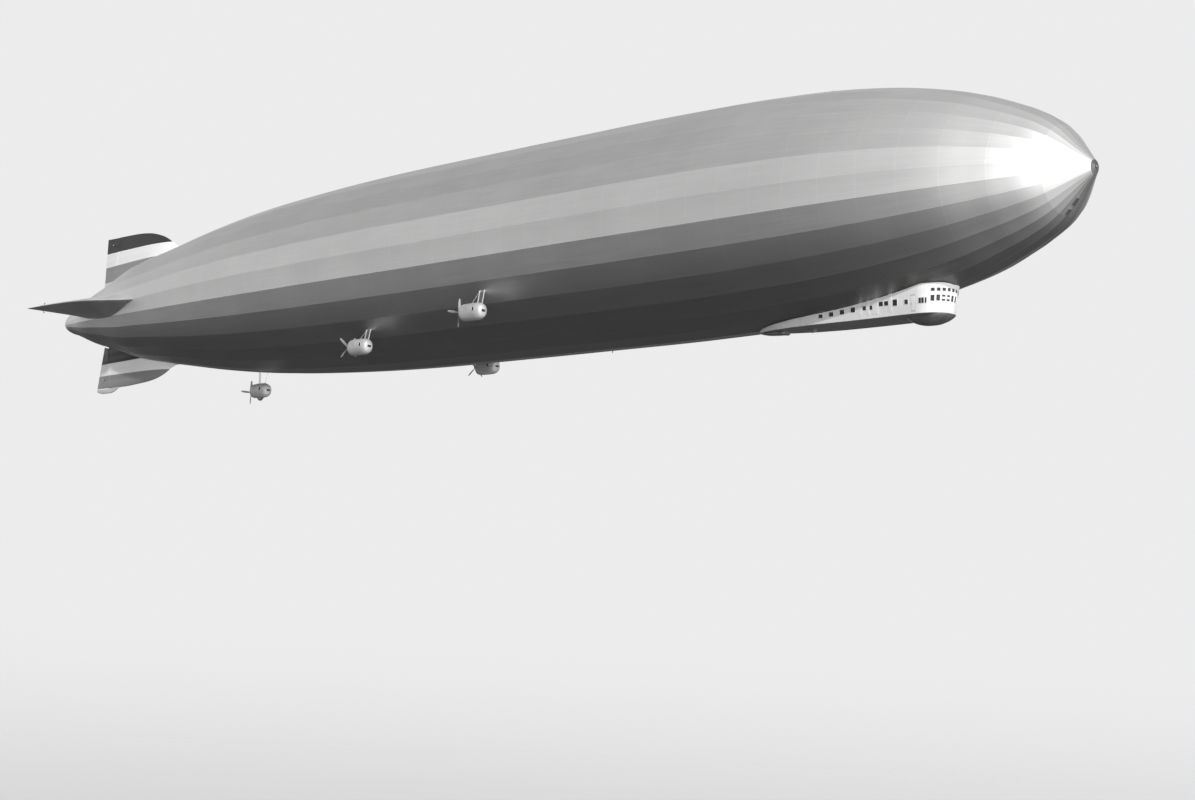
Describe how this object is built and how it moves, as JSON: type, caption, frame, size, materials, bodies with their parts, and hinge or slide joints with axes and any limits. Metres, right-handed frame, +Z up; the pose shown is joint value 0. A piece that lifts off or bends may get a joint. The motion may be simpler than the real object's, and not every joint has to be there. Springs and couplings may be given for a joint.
{
  "type": "rigid airship, 1:10 scale model",
  "caption": "Rigid airship with a faceted long envelope, cruciform tail fins with rudders and elevators, a glazed control car under the bow and hung engine cars with pusher propellers.",
  "frame": {"origin": "on the envelope's long axis amidships, 11 m of the model behind the nose tip, where the ship is held up by the air", "axes": "+X to the nose, +Y to port, +Z up"},
  "size_m": [23.66, 3.3968, 3.45],
  "materials": {
    "doped_fabric": "silver dope, satin",
    "fin_fabric": "silver dope with a dark, a white and a grey band",
    "nose_metal": "satin",
    "tail_fabric": "silver dope, satin",
    "white_panel": "satin white",
    "belly_panel": "dull grey",
    "inner_panel": "satin",
    "window_glass": "clear",
    "buffer_rubber": "matt",
    "car_metal": "satin",
    "radiator_core": "matt",
    "engine_iron": "matt",
    "strut_metal": "satin",
    "propeller_wood": "varnished"
  },
  "bodies": {
    "hull": {"bulkhead_cabins": "inner_panel", "bulkhead_control": "inner_panel", "bulkhead_saloon": "inner_panel", "car_aft_port_engine": "engine_iron", "car_aft_port_mounting": "strut_metal", "car_aft_port_radiator": "radiator_core", "car_aft_port_shell": "car_metal", "car_aft_starboard_engine": "engine_iron", "car_aft_starboard_mounting": "strut_metal", "car_aft_starboard_radiator": "radiator_core", "car_aft_starboard_shell": "car_metal", "car_centre_engine": "engine_iron", "car_centre_mounting": "strut_metal", "car_centre_radiator": "radiator_core", "car_centre_shell": "car_metal", "car_forward_port_engine": "engine_iron", "car_forward_port_mounting": "strut_metal", "car_forward_port_radiator": "radiator_core", "car_forward_port_shell": "car_metal", "car_forward_starboard_engine": "engine_iron", "car_forward_starboard_mounting": "strut_metal", "car_forward_starboard_radiator": "radiator_core", "car_forward_starboard_shell": "car_metal", "centre_car_bumper": "buffer_rubber", "envelope_aft": "doped_fabric", "envelope_bow": "doped_fabric", "envelope_fore": "doped_fabric", "envelope_middle": "doped_fabric", "envelope_stern": "doped_fabric", "envelope_tail": "doped_fabric", "fin_bumper": "buffer_rubber", "fin_lower": "fin_fabric", "fin_port": "fin_fabric", "fin_starboard": "fin_fabric", "fin_upper": "fin_fabric", "glazing_control": "window_glass", "glazing_port": "window_glass", "glazing_starboard": "window_glass", "gondola_belly": "belly_panel", "gondola_bumper": "buffer_rubber", "gondola_rear_bumper": "buffer_rubber", "gondola_walls": "white_panel", "nose_cap": "nose_metal", "tail_cap": "tail_fabric"},
    "elevator_port": {"elevator_port": "fin_fabric"},
    "elevator_starboard": {"elevator_starboard": "fin_fabric"},
    "entry_door": {"gondola_door": "white_panel"},
    "propeller_aft_port": {"propeller_aft_port": "propeller_wood"},
    "propeller_aft_starboard": {"propeller_aft_starboard": "propeller_wood"},
    "propeller_centre": {"propeller_centre": "propeller_wood"},
    "propeller_forward_port": {"propeller_forward_port": "propeller_wood"},
    "propeller_forward_starboard": {"propeller_forward_starboard": "propeller_wood"},
    "rudder_lower": {"rudder_lower": "fin_fabric"},
    "rudder_upper": {"rudder_upper": "fin_fabric"}
  },
  "joints": [
    {"name": "propeller_forward_port_spin", "type": "hinge", "parent": "hull", "child": "propeller_forward_port", "pos_m": [1.74, 1.48, -1.1], "axis": [1, 0, 0], "continuous": true},
    {"name": "propeller_forward_starboard_spin", "type": "hinge", "parent": "hull", "child": "propeller_forward_starboard", "pos_m": [1.74, -1.48, -1.1], "axis": [1, 0, 0], "continuous": true},
    {"name": "propeller_aft_port_spin", "type": "hinge", "parent": "hull", "child": "propeller_aft_port", "pos_m": [-1.21, 1.23, -1.36], "axis": [1, 0, 0], "continuous": true},
    {"name": "propeller_aft_starboard_spin", "type": "hinge", "parent": "hull", "child": "propeller_aft_starboard", "pos_m": [-1.21, -1.23, -1.36], "axis": [1, 0, 0], "continuous": true},
    {"name": "propeller_centre_spin", "type": "hinge", "parent": "hull", "child": "propeller_centre", "pos_m": [-5.76, 0, -1.675], "axis": [1, 0, 0], "continuous": true},
    {"name": "rudder_upper_turn", "type": "hinge", "parent": "hull", "child": "rudder_upper", "pos_m": [-10.7, 0, 1.1], "axis": [0, 0, 1], "range_deg": [-22, 22]},
    {"name": "rudder_lower_turn", "type": "hinge", "parent": "hull", "child": "rudder_lower", "pos_m": [-10.7, 0, -1], "axis": [0, 0, 1], "range_deg": [-22, 22]},
    {"name": "elevator_port_turn", "type": "hinge", "parent": "hull", "child": "elevator_port", "pos_m": [-10.7, 1.1, 0], "axis": [0, 1, 0], "range_deg": [-22, 22]},
    {"name": "elevator_starboard_turn", "type": "hinge", "parent": "hull", "child": "elevator_starboard", "pos_m": [-10.7, -1.1, 0], "axis": [0, 1, 0], "range_deg": [-22, 22]},
    {"name": "entry_door_swing", "type": "hinge", "parent": "hull", "child": "entry_door", "pos_m": [8.77, -0.294, -1.38], "axis": [0, 0, 1], "range_deg": [0, 90]}
  ],
  "couplings": [
    {"joint": "rudder_lower_turn", "follows": "rudder_upper_turn", "ratio": 1},
    {"joint": "elevator_starboard_turn", "follows": "elevator_port_turn", "ratio": 1}
  ]
}
